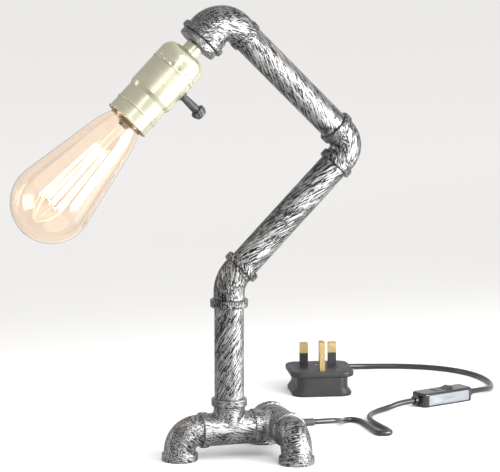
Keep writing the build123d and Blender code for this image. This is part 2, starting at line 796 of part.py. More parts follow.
def bulb_outline(inset):
    """Outline of the glass from its neck to its round end, moved in by the inset."""
    radius = bulb_diameter / 2 - inset
    round_start = (radius * cos(taper), bulb_centre - radius * sin(taper))
    shoulder = lamp_tip + bulb_shoulder_end
    shoulder_radius = round_start[0] - (round_start[1] - shoulder) * tan(taper)
    neck_end = (glass_neck - inset, lamp_tip + bulb_neck_end)
    neck = Line((glass_neck - inset, neck_start), neck_end)
    flare = TangentArc((shoulder_radius, shoulder), neck_end, tangent=(-sin(taper), -cos(taper)))
    cone = Line((shoulder_radius, shoulder), round_start)
    halfway = pi / 4 - taper / 2
    tip = ThreePointArc(round_start,
                        (radius * cos(halfway), bulb_centre + radius * sin(halfway)),
                        (0, bulb_centre + radius))
    return neck, flare, cone, tip


with BuildPart() as bulb_glass:
    with BuildSketch(lamp_section):
        with BuildLine():
            outer = bulb_outline(0)
            inner = bulb_outline(glass_wall)
            Line(outer[0] @ 0, inner[0] @ 0)
            Line(outer[3] @ 1, inner[3] @ 1)
        make_face()
    revolve(axis=lamp_line)
save(bulb_glass, "bulb_glass")

# Stem: a flared foot sealed to the neck, a solid stem and a thin rod down the middle.
stem_foot = lamp_cap_end
stem_foot_radius = glass_neck - glass_wall - running_gap
stem_end = stem_foot + stem_length
rod_end = stem_end + stem_rod_length
turned([(0, stem_foot), (stem_foot_radius, stem_foot), (stem_foot_radius, stem_foot + glass_wall),
        (stem_diameter / 2, stem_foot + stem_foot_height), (stem_diameter / 2, stem_end),
        (stem_rod_diameter / 2, stem_end), (stem_rod_diameter / 2, rod_end), (0, rod_end)],
       "bulb_stem")

# Filament: one wire that runs up and down a cage between an upper and a lower circle.
filament_top = stem_end - filament_margin
filament_bottom = rod_end - filament_margin
cage_plane = Plane(origin=head_centre, x_dir=knob_axis, z_dir=lamp_axis)
cage_step = 2 * pi / (filament_strands + 1)
cage_points = []
for strand in range(filament_strands):
    angle = cage_step * (strand + 1)
    ends = [(filament_top_radius, filament_top), (filament_bottom_radius, filament_bottom)]
    if strand % 2:
        ends.reverse()
    for turn, (circle, distance) in enumerate(ends):
        shift = cage_step * filament_fold / (2 if turn else -2)
        cage_points.append(cage_plane.from_local_coords(
            Vector(circle * cos(angle + shift), circle * sin(angle + shift), distance)))

with BuildPart() as filament:
    with BuildLine() as strands:
        FilletPolyline(*cage_points, radius=filament_wire)
    with BuildSketch(Plane(origin=strands.line @ 0, z_dir=strands.line % 0)):
        Circle(filament_wire / 2)
    sweep(path=strands.line)
save(filament, "filament")

with BuildPart() as support_wires:
    for circle, distance, seat in ((filament_top_radius, filament_top, stem_diameter / 2),
                                   (filament_bottom_radius, filament_bottom,
                                    stem_rod_diameter / 2)):
        hub = Plane(origin=head_centre + lamp_axis * distance, x_dir=knob_axis, z_dir=lamp_axis)
        for strand in range(0, filament_strands, 2):
            angle = cage_step * (strand + 1) + cage_step / 2  # between two strands
            spoke = hub.x_dir * cos(angle) + hub.y_dir * sin(angle)
            with BuildSketch(mouth(hub.origin + spoke * (seat + running_gap), spoke)):
                Circle(support_wire / 2)
            extrude(amount=circle - seat - filament_wire)
save(support_wires, "support_wires")


# ================================================================ in-line switch
def on_floor(point, heading):
    """Plane on the floor at a point measured from the column's axis, turned to a heading."""
    turned_to = radians(heading)
    return Plane(origin=(column_x + point[0], point[1], 0),
                 x_dir=(cos(turned_to), sin(turned_to), 0), z_dir=(0, 0, 1))


switch_floor = on_floor(switch_centre, switch_heading)
switch_along = switch_floor.x_dir
switch_across = switch_floor.y_dir
switch_height = switch_base_height + switch_cover_height
parting = switch_floor.offset(switch_base_height)
switch_top = switch_floor.offset(switch_height)
inner_length = switch_length - 2 * switch_wall
inner_width = switch_width - 2 * switch_wall
inner_corner = switch_corner - switch_wall
nozzle_start = switch_length / 2 - switch_wall
nozzle_end = switch_length / 2 + switch_nozzle_length
rocker_pin = switch_top.origin - up * rocker_pin_depth
rocker_room = 2 * (rocker_radius + rocker_gap)


def nozzles(upper):
    """Half of both cord nozzles: the cover has the upper half and the base the lower."""
    for side in (1, -1):
        end = Plane(origin=parting.origin + switch_along * (side * nozzle_end),
                    x_dir=switch_across * -side, z_dir=switch_along * -side)
        with BuildSketch(end) as half:
            Circle(switch_nozzle_diameter / 2)
            shift = -switch_nozzle_diameter / 2 if upper else switch_nozzle_diameter / 2
            with Locations((0, shift)):
                Rectangle(switch_nozzle_diameter, switch_nozzle_diameter, mode=Mode.SUBTRACT)
        extrude(half.sketch, amount=nozzle_end - nozzle_start)
        with BuildSketch(end) as bore:
            Circle(flex_radius + sleeve_gap)
        extrude(bore.sketch, amount=nozzle_end - nozzle_start, mode=Mode.SUBTRACT)


with BuildPart() as switch_base:
    with BuildSketch(switch_floor):
        RectangleRounded(switch_length, switch_width, switch_corner)
    extrude(amount=switch_base_height)
    fillet(switch_base.faces().sort_by(Axis.Z)[0].edges(), switch_wall / 2)
    with BuildSketch(switch_floor.offset(switch_wall)):
        RectangleRounded(inner_length, inner_width, inner_corner)
    extrude(amount=switch_base_height - switch_wall, mode=Mode.SUBTRACT)
    with BuildSketch(switch_floor.offset(switch_wall)):
        with Locations((switch_screw_place, 0)):
            Circle(screw_boss_diameter / 2)
    extrude(amount=switch_base_height - switch_wall)
    nozzles(upper=False)
    with BuildSketch(switch_floor):
        with Locations((switch_screw_place, 0)):
            Circle(screw_head_diameter / 2 + switch_screw_gap)
    extrude(amount=screw_recess, mode=Mode.SUBTRACT)
    with BuildSketch(switch_floor):
        with Locations((switch_screw_place, 0)):
            Circle(screw_diameter / 2 + running_gap)
    extrude(amount=switch_base_height, mode=Mode.SUBTRACT)
save(switch_base, "switch_base")

with BuildPart() as switch_cover:
    with BuildSketch(parting):
        RectangleRounded(switch_length, switch_width, switch_corner)
    extrude(amount=switch_cover_height)
    fillet(switch_cover.faces().sort_by(Axis.Z)[-1].edges(), switch_rounding)
    with BuildSketch(parting):
        RectangleRounded(inner_length, inner_width, inner_corner)
    extrude(amount=switch_cover_height - switch_wall, mode=Mode.SUBTRACT)
    with BuildSketch(parting):
        with Locations((switch_screw_place, 0)):
            Circle(screw_boss_diameter / 2)
    extrude(amount=switch_cover_height - switch_wall)
    nozzles(upper=True)
    with BuildSketch(parting):
        with Locations((switch_screw_place, 0)):
            Circle(screw_diameter / 2 + running_gap)
    extrude(amount=screw_length, mode=Mode.SUBTRACT)
    with BuildSketch(switch_top):
        Rectangle(rocker_room, rocker_width + 2 * rocker_gap)
    extrude(amount=-switch_wall, mode=Mode.SUBTRACT)
    with BuildSketch(mouth(rocker_pin, switch_across)):
        Circle(rocker_pin_diameter / 2 + running_gap)
    extrude(amount=inner_width / 2 + rocker_pin_hold + running_gap, both=True,
            mode=Mode.SUBTRACT)
save(switch_cover, "switch_cover")

with BuildPart() as switch_screw:
    with BuildSketch(switch_floor.offset(screw_recess)):
        with Locations((switch_screw_place, 0)):
            Circle(screw_head_diameter / 2)
    extrude(amount=-screw_head_height)
    with BuildSketch(switch_floor.offset(screw_recess)):
        with Locations((switch_screw_place, 0)):
            Circle(screw_diameter / 2)
    extrude(amount=screw_length)
save(switch_screw, "switch_screw")

with BuildPart() as switch_contacts:
    with BuildSketch(switch_floor.offset(switch_wall)):
        with Locations((-switch_contact_pitch / 2, 0), (switch_contact_pitch / 2 - switch_contact_shift, 0)):
            Rectangle(switch_contact_length, switch_contact_width)
    extrude(amount=switch_contact_thickness)
save(switch_contacts, "switch_contacts")

with BuildPart() as switch_leads:
    for side in (1, -1):
        with BuildSketch(mouth(parting.origin + switch_along * (side * nozzle_end),
                               switch_along * -side)):
            Circle(flex_radius)
        extrude(amount=nozzle_end - nozzle_start + lead_length)
save(switch_leads, "switch_leads")

# Rocker: round ends about its pin, a dip along the top, tilted to the "on" side.
rocker_top = rocker_pin_depth + rocker_stand
rocker_half = sqrt(rocker_radius**2 - rocker_top**2)
rocker_foot = sqrt(rocker_radius**2 - rocker_tail**2)
rocker_lean = radians(rocker_angle)
rocker_plane = Plane(origin=rocker_pin, z_dir=-switch_across,
                     x_dir=switch_along * cos(rocker_lean) + up * sin(rocker_lean))
with BuildPart() as switch_rocker:
    with BuildSketch(rocker_plane):
        with BuildLine():
            ThreePointArc((rocker_foot, -rocker_tail), (rocker_radius, 0),
                          (rocker_half, rocker_top))
            Polyline((rocker_half, rocker_top), (0, rocker_top - rocker_dip),
                     (-rocker_half, rocker_top))
            ThreePointArc((-rocker_half, rocker_top), (-rocker_radius, 0),
                          (-rocker_foot, -rocker_tail))
            Line((-rocker_foot, -rocker_tail), (rocker_foot, -rocker_tail))
        make_face()
    extrude(amount=rocker_width / 2, both=True)
    with BuildSketch(rocker_plane):
        Circle(rocker_pin_diameter / 2)
    extrude(amount=inner_width / 2 + rocker_pin_hold, both=True)
save(switch_rocker, "switch_rocker")


# ================================================================ plug
# It lies on its cover with its pins up. Lengths run from its front edge toward the cord.
plug_floor = on_floor(plug_front, plug_heading)
plug_along = plug_floor.x_dir
plug_across = plug_floor.y_dir
plug_joint = plug_floor.offset(plug_cover_height)
plug_face_plane = plug_joint.offset(plug_face_thickness)
line_place = plug_length - pin_from_edge
carrier_place = line_place - carrier_offset
plug_middle = plug_length / 2
line_pin = (line_pin_width, line_pin_thickness, line_pin_length)
earth_pin = (earth_pin_width, earth_pin_thickness, earth_pin_length)
pins = {
    "live_pin": (line_place, pin_spacing / 2, line_pin, pin_sleeve_wall),
    "neutral_pin": (line_place, -pin_spacing / 2, line_pin, pin_sleeve_wall),
    "earth_pin": (line_place - pin_offset, 0, earth_pin, 0),
}


def plug_outline(height, length, width, corner):
    """Rounded outline across the plug at a height."""
    with BuildSketch(plug_floor.offset(height)) as outline:
        with Locations((plug_middle, 0)):
            RectangleRounded(length, width, corner)
    return outline.sketch


def prism(plane, place, across, along_size, across_size, amount, mode=Mode.ADD):
    """Upright rectangular block at a place on the plug."""
    with BuildSketch(plane) as section:
        with Locations((place, across)):
            Rectangle(along_size, across_size)
    extrude(section.sketch, amount=amount, mode=mode)


def disc(plane, place, diameter, amount, mode=Mode.ADD):
    """Upright cylinder at a place on the plug's middle line."""
    with BuildSketch(plane) as section:
        with Locations((place, 0)):
            Circle(diameter / 2)
    extrude(section.sketch, amount=amount, mode=mode)


relief_line = plug_floor.origin + up * relief_height
cover_end = relief_line + plug_along * plug_length
relief_end = cover_end + plug_along * relief_length
foot_outline = plug_outline(0, plug_length, plug_foot_width, plug_corner)
foot_top = plug_outline(plug_foot_height, plug_length, plug_foot_width, plug_corner)
waist_outline = plug_outline(plug_waist_start, plug_length, plug_waist_width, plug_waist_corner)
cover_room = plug_outline(plug_wall, plug_length - 2 * plug_wall,
                          plug_waist_width - 2 * plug_wall, plug_waist_corner - plug_wall)
with BuildPart() as plug_cover:
    extrude(foot_outline, amount=plug_foot_height)
    fillet(plug_cover.faces().sort_by(Axis.Z)[0].edges(), plug_foot_rounding)
    loft([foot_top, waist_outline])
    extrude(waist_outline, amount=plug_cover_height - plug_waist_start)
    extrude(cover_room, amount=plug_cover_height - plug_wall, mode=Mode.SUBTRACT)
    disc(plug_floor.offset(plug_wall), line_place, plug_boss_diameter,
         plug_cover_height - plug_wall)
    disc(plug_joint, line_place, plug_screw_diameter + 2 * running_gap,
         plug_wall - plug_screw_length, mode=Mode.SUBTRACT)
    with BuildSketch(mouth(cover_end, -plug_along)):
        Circle(relief_root_diameter / 2 + sleeve_gap)
    extrude(amount=2 * plug_wall, mode=Mode.SUBTRACT)
save(plug_cover, "plug_cover")

with BuildPart() as plug_face:
    extrude(plug_outline(plug_cover_height, plug_length + 2 * plug_lip,
                         plug_width + 2 * plug_lip, plug_corner), amount=plug_face_thickness)
    for face in (plug_face.faces().sort_by(Axis.Z)[-1], plug_face.faces().sort_by(Axis.Z)[0]):
        fillet(face.edges(), plug_face_rounding)
    for place, across, (wide, deep, length), step in pins.values():
        prism(plug_joint, place, across, deep - 2 * step + 2 * pin_gap,
              wide - 2 * step + 2 * pin_gap, plug_face_thickness, mode=Mode.SUBTRACT)
    prism(plug_joint, carrier_place, 0, carrier_width + 2 * carrier_gap,
          carrier_length + 2 * carrier_gap, plug_face_thickness, mode=Mode.SUBTRACT)
    disc(plug_face_plane, line_place, plug_screw_head + 2 * plug_screw_gap,
         -plug_screw_recess, mode=Mode.SUBTRACT)
    disc(plug_joint, line_place, plug_screw_diameter + 2 * running_gap,
         plug_face_thickness, mode=Mode.SUBTRACT)
save(plug_face, "plug_face")

# A line pin is stepped in by its sleeve's wall, so that the sleeve lies flush with its end.
for name, (place, across, (wide, deep, length), step) in pins.items():
    with BuildPart() as pin:
        prism(plug_joint.offset(-pin_root), place, across, deep, wide, pin_root)
        prism(plug_joint, place, across, deep - 2 * step, wide - 2 * step,
              plug_face_thickness + length)
        covered = pin_sleeve_length if step else 0
        prism(plug_face_plane.offset(covered), place, across, deep, wide, length - covered)
        chamfer(pin.faces().sort_by(Axis.Z)[-1].edges(), end_chamfer)
    save(pin, name)

with BuildPart() as pin_sleeves:
    for place, across, (wide, deep, length), step in pins.values():
        if step:
            prism(plug_face_plane, place, across, deep, wide, pin_sleeve_length)
            prism(plug_face_plane, place, across, deep - 2 * step + 2 * pin_gap,
                  wide - 2 * step + 2 * pin_gap, pin_sleeve_length, mode=Mode.SUBTRACT)
save(pin_sleeves, "pin_sleeves")

# Fuse carrier in its pocket, with the fuse in a slot on its underside.
fuse_room = carrier_width - 2 * carrier_wall
fuse_seat = plug_face_plane.offset(fuse_diameter / 2 - carrier_depth + carrier_wall)
with BuildPart() as fuse_carrier:
    prism(plug_face_plane, carrier_place, 0, carrier_width, carrier_length, -carrier_depth)
    prism(plug_face_plane.offset(-carrier_depth), carrier_place, 0, fuse_room,
          fuse_length + 2 * running_gap, carrier_wall + fuse_diameter / 2, mode=Mode.SUBTRACT)
    with BuildSketch(mouth(fuse_seat.origin + plug_along * carrier_place, plug_across)):
        Circle(fuse_room / 2)
    extrude(amount=fuse_length / 2 + running_gap, both=True, mode=Mode.SUBTRACT)
save(fuse_carrier, "fuse_carrier")

with BuildPart() as fuse:
    fuse_middle = mouth(fuse_seat.origin + plug_along * carrier_place, plug_across)
    with BuildSketch(fuse_middle):
        Circle(fuse_diameter / 2)
    extrude(amount=fuse_length / 2, both=True)
    with BuildSketch(fuse_middle):
        Circle(fuse_diameter / 2)
        Circle(fuse_diameter / 2 - end_chamfer, mode=Mode.SUBTRACT)
    extrude(amount=fuse_length / 2 - fuse_cap_length, both=True, mode=Mode.SUBTRACT)
save(fuse, "fuse")

with BuildPart() as plug_screw:
    disc(plug_face_plane.offset(-plug_screw_recess), line_place, plug_screw_head,
         plug_screw_head_height)
    disc(plug_face_plane.offset(-plug_screw_recess), line_place, plug_screw_diameter,
         plug_screw_recess - plug_screw_length)
save(plug_screw, "plug_screw")

inside_wall = cover_end - plug_along * plug_wall
with BuildPart() as plug_relief:
    with BuildSketch(mouth(inside_wall, plug_along)):
        Circle(relief_root_diameter / 2)
    extrude(amount=plug_wall)
    with BuildSketch(mouth(inside_wall, -plug_along)):
        Circle(relief_flange_diameter / 2)
    extrude(amount=relief_flange_thickness)
    with BuildSketch(mouth(cover_end, plug_along)):
        Circle(relief_root_diameter / 2)
    with BuildSketch(mouth(relief_end, plug_along)):
        Circle(relief_end_diameter / 2)
    loft()
    with BuildSketch(mouth(relief_end, -plug_along)):
        Circle(flex_radius + sleeve_gap)
    extrude(amount=relief_length + 2 * plug_wall, mode=Mode.SUBTRACT)
save(plug_relief, "plug_relief")

with BuildPart() as plug_lead:
    with BuildSketch(mouth(relief_end, -plug_along)):
        Circle(flex_radius)
    extrude(amount=relief_length + plug_wall + lead_length)
save(plug_lead, "plug_lead")


# ================================================================ cord
def cord_tube(points, name):
    """Plain tube along the cord's route, with each arc as large as its shorter run allows."""
    runs = [(end - start).length for start, end in zip(points, points[1:])]
    radii = []
    for before, corner, after in zip(points, points[1:], points[2:]):
        shorter = min((corner - before).length, (after - corner).length)
        half_turn = radians((corner - before).get_angle(after - corner)) / 2
        radii.append(cord_bend_share * shorter / tan(half_turn))
    tube, route = flex_tube(points, radii, name)
    section = pi * flex_radius**2
    length = sum(edge.length for edge in route.line.edges())
    print(name, "runs", [round(run, 1) for run in runs])
    print(name, "radii", [round(radius, 1) for radius in radii])
    print(name, "length", round(length, 1),
          "volume ratio", round(tube.part.volume / (section * length), 5))


def from_column(corners):
    """Route corners moved from the column's axis to the lamp's origin."""
    return [Vector(column_x + x, y, z) for x, y, z in corners]


nozzle_in = parting.origin - switch_along * nozzle_end
nozzle_out = parting.origin + switch_along * nozzle_end
cord_tube([sleeve_end, sleeve_end + right * cord_exit_run]
          + from_column(lamp_side_corners)
          + [nozzle_in - switch_along * cord_exit_run, nozzle_in], "lamp_side_cord")
cord_tube([nozzle_out, nozzle_out + switch_along * cord_exit_run]
          + from_column(plug_side_corners)
          + [relief_end + plug_along * cord_exit_run, relief_end], "plug_side_cord")
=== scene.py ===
import json
import math

import bpy
import numpy as np
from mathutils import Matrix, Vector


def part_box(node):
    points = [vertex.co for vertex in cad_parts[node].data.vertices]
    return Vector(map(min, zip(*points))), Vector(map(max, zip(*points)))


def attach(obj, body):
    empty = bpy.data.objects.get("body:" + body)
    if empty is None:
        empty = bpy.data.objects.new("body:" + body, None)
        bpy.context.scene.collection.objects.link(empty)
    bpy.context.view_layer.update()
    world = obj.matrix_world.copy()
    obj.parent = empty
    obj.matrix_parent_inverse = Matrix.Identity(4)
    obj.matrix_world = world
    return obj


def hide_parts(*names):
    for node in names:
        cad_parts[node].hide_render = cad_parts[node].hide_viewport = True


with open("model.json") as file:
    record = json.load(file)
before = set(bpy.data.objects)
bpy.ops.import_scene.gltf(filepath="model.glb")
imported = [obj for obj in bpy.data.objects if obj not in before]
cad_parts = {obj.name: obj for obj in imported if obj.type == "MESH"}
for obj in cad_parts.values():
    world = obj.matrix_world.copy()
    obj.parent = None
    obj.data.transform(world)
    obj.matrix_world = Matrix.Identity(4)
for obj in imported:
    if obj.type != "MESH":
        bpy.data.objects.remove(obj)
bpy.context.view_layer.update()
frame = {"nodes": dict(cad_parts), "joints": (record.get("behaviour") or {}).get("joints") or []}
print("frame loaded:", len(frame["nodes"]), "nodes")

scene = bpy.context.scene
scene.view_settings.view_transform = "Standard"
joints = {joint["name"]: joint for joint in frame["joints"]}
column = np.array([joints["column_swivel"]["pos_m"][0], 0.0, 0.0])
upward = np.array([0.0, 0.0, 1.0])


def unit(vector):
    vector = np.array(vector, float)
    return vector / np.linalg.norm(vector)


def faceFrom(body, place, back):
    # the body stands at the place and looks along its -Z, away from the back direction
    back = unit(back)
    side = unit(np.cross(upward, back))
    matrix = np.eye(4)
    matrix[:3, 0], matrix[:3, 1] = side, np.cross(back, side)
    matrix[:3, 2], matrix[:3, 3] = back, place
    body.matrix_world = matrix.T.tolist()


def newObject(name, data):
    body = bpy.data.objects.new(name, data)
    scene.collection.objects.link(body)
    return body


# a long lens some way off, with its places from the column's axis
camera = {
    "place": (-0.79759, -2.43038, 0.59814),
    "target": (0.01578, 0.0, 0.16031),
    "lens": 261.73,
    "sensor": 36.0,
    "clipEnd": 50.0,
}


def makeCamera():
    data = bpy.data.cameras.new("camera")
    data.lens, data.sensor_width = camera["lens"], camera["sensor"]
    data.clip_end = camera["clipEnd"]
    body = newObject("camera", data)
    place, target = column + camera["place"], column + camera["target"]
    faceFrom(body, place, place - target)
    scene.camera = body


makeCamera()
print("camera set")

# the free cord, from the leg tee's sleeve to the switch and from the switch to the plug
flex = {
    "radius": 0.0021,
    "steps": 16,
    "roundSteps": 8,
    "sleeveEnd": (0.0645, 0.0, 0.0208),  # from the column's axis, as all places here are
    "exitRun": 0.012,
    "switchCentre": (0.212, 0.1205),
    "switchHeading": 18.0,
    "nozzleHeight": 0.0052,
    "nozzleReach": 0.028,
    "plugFront": (0.132, 0.168),
    "plugHeading": 78.5,
    "reliefReach": 0.065,
    "reliefHeight": 0.0086,
    "lampSide": [
        (0.0860, 0.0055, 0.0192), (0.0920, 0.0180, 0.0160), (0.0972, 0.0325, 0.0124),
        (0.1023, 0.0475, 0.0088), (0.1076, 0.0620, 0.0052), (0.1136, 0.0740, 0.0026),
        (0.1210, 0.0790, 0.0021), (0.1270, 0.0726, 0.0021), (0.1270, 0.0600, 0.0021),
        (0.1262, 0.0470, 0.0021), (0.1254, 0.0356, 0.0021), (0.1252, 0.0260, 0.0021),
        (0.1348, 0.0256, 0.0021), (0.1354, 0.0356, 0.0021), (0.1349, 0.0475, 0.0021),
        (0.1342, 0.0615, 0.0021), (0.1358, 0.0765, 0.0021), (0.1418, 0.0900, 0.0021),
        (0.1516, 0.0995, 0.0022), (0.1630, 0.1042, 0.0032),
    ],
    "plugSide": [
        (0.2620, 0.1435, 0.0032), (0.2695, 0.1600, 0.0021), (0.2730, 0.1790, 0.0021),
        (0.2718, 0.1995, 0.0021), (0.2640, 0.2200, 0.0021), (0.2495, 0.2370, 0.0021),
        (0.2295, 0.2495, 0.0021), (0.2065, 0.2570, 0.0021), (0.1840, 0.2596, 0.0029),
        (0.1665, 0.2578, 0.0048), (0.1545, 0.2520, 0.0072),
    ],
}


def heading(degrees):
    # a level unit vector turned from the X axis: (cos, sin, 0)
    turn = math.radians(degrees)
    return np.array([math.cos(turn), math.sin(turn), 0.0])


def cordCurve(name, points):
    # one open spline of order 3 along the route's own points, as a round tube of their radius
    data = bpy.data.curves.new(name, "CURVE")
    data.dimensions = "3D"
    # tube radius = bevel depth x the point's radius, so the points carry all of it
    data.bevel_depth, data.bevel_resolution = 1.0, flex["roundSteps"]
    data.use_fill_caps = True
    spline = data.splines.new("NURBS")
    spline.points.add(len(points) - 1)
    spline.points.foreach_set("co", np.column_stack([points, np.ones(len(points))]).ravel())
    spline.points.foreach_set("radius", np.full(len(points), flex["radius"]))
    spline.order_u = 3
    spline.use_endpoint_u = True
    spline.resolution_u = flex["steps"]
    piece = newObject(name, data)
    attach(piece, "base")
    return piece


sleeveEnd = column + flex["sleeveEnd"]
switchAlong = heading(flex["switchHeading"])
switchMiddle = column + (*flex["switchCentre"], flex["nozzleHeight"])
nozzleIn = switchMiddle - switchAlong * flex["nozzleReach"]
nozzleOut = switchMiddle + switchAlong * flex["nozzleReach"]
plugAlong = heading(flex["plugHeading"])
reliefEnd = column + (*flex["plugFront"], flex["reliefHeight"]) + plugAlong * flex["reliefReach"]
exitRun = flex["exitRun"]

lampCord = cordCurve("lampCord", np.array(
    [sleeveEnd, sleeveEnd + (exitRun, 0, 0)]
    + [column + point for point in flex["lampSide"]]
    + [nozzleIn - switchAlong * exitRun, nozzleIn]))
plugCord = cordCurve("plugCord", np.array(
    [nozzleOut, nozzleOut + switchAlong * exitRun]
    + [column + point for point in flex["plugSide"]]
    + [reliefEnd + plugAlong * exitRun, reliefEnd]))
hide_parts("lamp_side_cord")
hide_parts("plug_side_cord")
print("cords laid")


def feed(tree, socket, value):
    # a link from another socket, or the socket's own number, vector or colour
    if isinstance(value, bpy.types.NodeSocket):
        tree.links.new(value, socket)
    elif socket.type == "RGBA":
        socket.default_value = (*value, 1.0)
    else:
        socket.default_value = value


def mathNode(tree, operation, *values, clamp=False):
    node = tree.nodes.new("ShaderNodeMath")
    node.operation, node.use_clamp = operation, clamp
    for socket, value in zip(node.inputs, values):
        feed(tree, socket, value)
    return node.outputs[0]


def vectorMath(tree, operation, *values):
    node = tree.nodes.new("ShaderNodeVectorMath")
    node.operation = operation
    for socket, value in zip(node.inputs, values):
        feed(tree, socket, value)
    return node.outputs["Value" if operation == "DOT_PRODUCT" else "Vector"]


def mapRange(tree, value, low, high, newLow=0.0, newHigh=1.0):
    node = tree.nodes.new("ShaderNodeMapRange")
    node.interpolation_type = "SMOOTHSTEP"
    for socket, number in zip(node.inputs, (value, low, high, newLow, newHigh)):
        feed(tree, socket, number)
    return node.outputs[0]


noiseMiddle = 0.5  # a noise's own mean level


def noiseNode(tree, vector, scale, detail=2.0, roughness=0.5, output="Fac"):
    node = tree.nodes.new("ShaderNodeTexNoise")
    for label, value in (("Vector", vector), ("Scale", scale), ("Detail", detail),
                         ("Roughness", roughness)):
        feed(tree, node.inputs[label], value)
    return node.outputs[output]


def mixColor(tree, factor, first, second):
    node = tree.nodes.new("ShaderNodeMix")
    node.data_type = "RGBA"
    for socket, value in zip((node.inputs[0], *node.inputs[6:8]), (factor, first, second)):
        feed(tree, socket, value)
    return node.outputs[2]


def axisPart(tree, vector, index):
    split = tree.nodes.new("ShaderNodeSeparateXYZ")
    tree.links.new(vector, split.inputs[0])
    return split.outputs[index]


def newGroup(name, inputs, outputs):
    # a node group that takes a place and numbers, and gives numbers
    group = bpy.data.node_groups.new(name, "ShaderNodeTree")
    group.interface.new_socket("Place", in_out="INPUT", socket_type="NodeSocketVector")
    for labels, way in ((inputs, "INPUT"), (outputs, "OUTPUT")):
        for label in labels:
            group.interface.new_socket(label, in_out=way, socket_type="NodeSocketFloat")
    given, out = group.nodes.new("NodeGroupInput"), group.nodes.new("NodeGroupOutput")
    return group, given.outputs, out.inputs


def placeGroup(tree, group, values):
    # a group in a material's tree, with each value on the socket it names
    node = tree.nodes.new("ShaderNodeGroup")
    node.node_tree = group
    for label, value in values.items():
        feed(tree, node.inputs[label], value)
    return node.outputs


# scales are in waves per metre; each set's middle is the noise level at which a streak ends.
# turnShare and sizeShare are shares of a piece's own twist and stroke size
brush = {
    "warpScale": 170.0,
    "warpReach": 0.0009,
    "wetScale": 110.0,
    "wetShare": 0.17,
    "coverShare": 0.12,
    "edge": 0.010,
    "silverSets": [
        {"turnShare": 1.0, "sizeShare": 1.0, "middle": 0.57, "wetShare": 1.0},
        {"turnShare": 0.25, "sizeShare": 0.62, "middle": 0.60, "wetShare": 1.0},
    ],
    "blackSet": {"turnShare": 0.8, "sizeShare": 0.9, "middle": 0.50, "wetShare": -0.6},
    "blackDepth": 0.92,
    "patchScale": 75.0,
    "patchLevels": (0.35, 0.65),
    "rustScale": 55.0,
    "rustLevels": (0.56, 0.74),
}


def strokesGroup():
    # silver dragged over black with a nearly dry brush: two sets of silver streaks, each noise
    # stretched along the piece's Z axis and turned about it by twist x z, with a third set of
    # black ones over them, and a slow noise that makes silver thicker and black thinner where
    # the brush was wetter. silver = max(first set, second set) - depth x black set
    group, given, out = newGroup("dryBrushStrokes", ("Twist", "Width", "Length", "Cover"),
                                 ("Silver", "Patch", "Rust"))
    place = given["Place"]
    warp = noiseNode(group, place, brush["warpScale"], detail=1.0, output="Color")
    bent = vectorMath(group, "MULTIPLY_ADD", warp, (brush["warpReach"],) * 3, place)
    turn = mathNode(group, "MULTIPLY", axisPart(group, bent, 2), given["Twist"])
    wet = mathNode(group, "SUBTRACT",
                   noiseNode(group, place, brush["wetScale"], roughness=0.6), noiseMiddle)
    wetter = mathNode(group, "MULTIPLY_ADD", given["Cover"], brush["coverShare"],
                      mathNode(group, "MULTIPLY", wet, brush["wetShare"]))

    def streaks(turnShare, sizeShare, middle, wetShare):
        rotate = group.nodes.new("ShaderNodeVectorRotate")
        rotate.rotation_type = "Z_AXIS"
        feed(group, rotate.inputs["Vector"], bent)
        feed(group, rotate.inputs["Angle"], mathNode(group, "MULTIPLY", turn, turnShare))
        across = mathNode(group, "DIVIDE", 1.0 / sizeShare, given["Width"])
        along = mathNode(group, "DIVIDE", 1.0 / sizeShare, given["Length"])
        stretch = group.nodes.new("ShaderNodeCombineXYZ")
        for socket, value in zip(stretch.inputs, (across, across, along)):
            feed(group, socket, value)
        scaled = vectorMath(group, "MULTIPLY", rotate.outputs[0], stretch.outputs[0])
        level = mathNode(group, "MULTIPLY_ADD", wetter, wetShare,
                         noiseNode(group, scaled, 1.0, detail=1.0, roughness=0.6))
        return mapRange(group, level, middle - brush["edge"], middle + brush["edge"])

    bright = mathNode(group, "MAXIMUM", *(streaks(**streak) for streak in brush["silverSets"]))
    dark = mathNode(group, "MULTIPLY", streaks(**brush["blackSet"]), brush["blackDepth"])
    silver = mathNode(group, "SUBTRACT", bright, dark, clamp=True)
    patch = mapRange(group, noiseNode(group, place, brush["patchScale"], detail=1.0),
                     *brush["patchLevels"])
    rust = mapRange(group, noiseNode(group, place, brush["rustScale"], detail=3.0, roughness=0.6),
                    *brush["rustLevels"])
    for label, value in (("Silver", silver), ("Patch", patch), ("Rust", rust)):
        feed(group, out[label], value)
    return group


# how a plain finish varies over its surface
plain = {
    "slowScale": 70.0,
    "slowLevels": (0.3, 0.7),
    "roughnessShares": (0.85, 1.2),
    "coatRoughness": 0.08,
}


def unevenGroup():
    # a slow noise as a shade from 0 to 1, roughness = the finish's own x a share that goes
    # from the first to the second with the shade, and a fine noise as grain
    group, given, out = newGroup("unevenFinish", ("Roughness", "GrainScale"),
                                 ("Roughness", "Shade", "Grain"))
    slow = noiseNode(group, given["Place"], plain["slowScale"], detail=3.0, roughness=0.6)
    low, high = (mathNode(group, "MULTIPLY", given["Roughness"], share)
                 for share in plain["roughnessShares"])
    feed(group, out["Roughness"], mapRange(group, slow, *plain["slowLevels"], low, high))
    feed(group, out["Shade"], mapRange(group, slow, *plain["slowLevels"]))
    feed(group, out["Grain"], noiseNode(group, given["Place"], given["GrainScale"]))
    return group


dryBrush = strokesGroup()
unevenFinish = unevenGroup()


def newMaterial(name, values):
    # a material, its tree and its shader, with each value on the socket it names
    material = bpy.data.materials.new(name)
    material.use_nodes = True
    tree = material.node_tree
    shader = tree.nodes["Principled BSDF"]
    for label, value in values.items():
        feed(tree, shader.inputs[label], value)
    return material, tree, shader


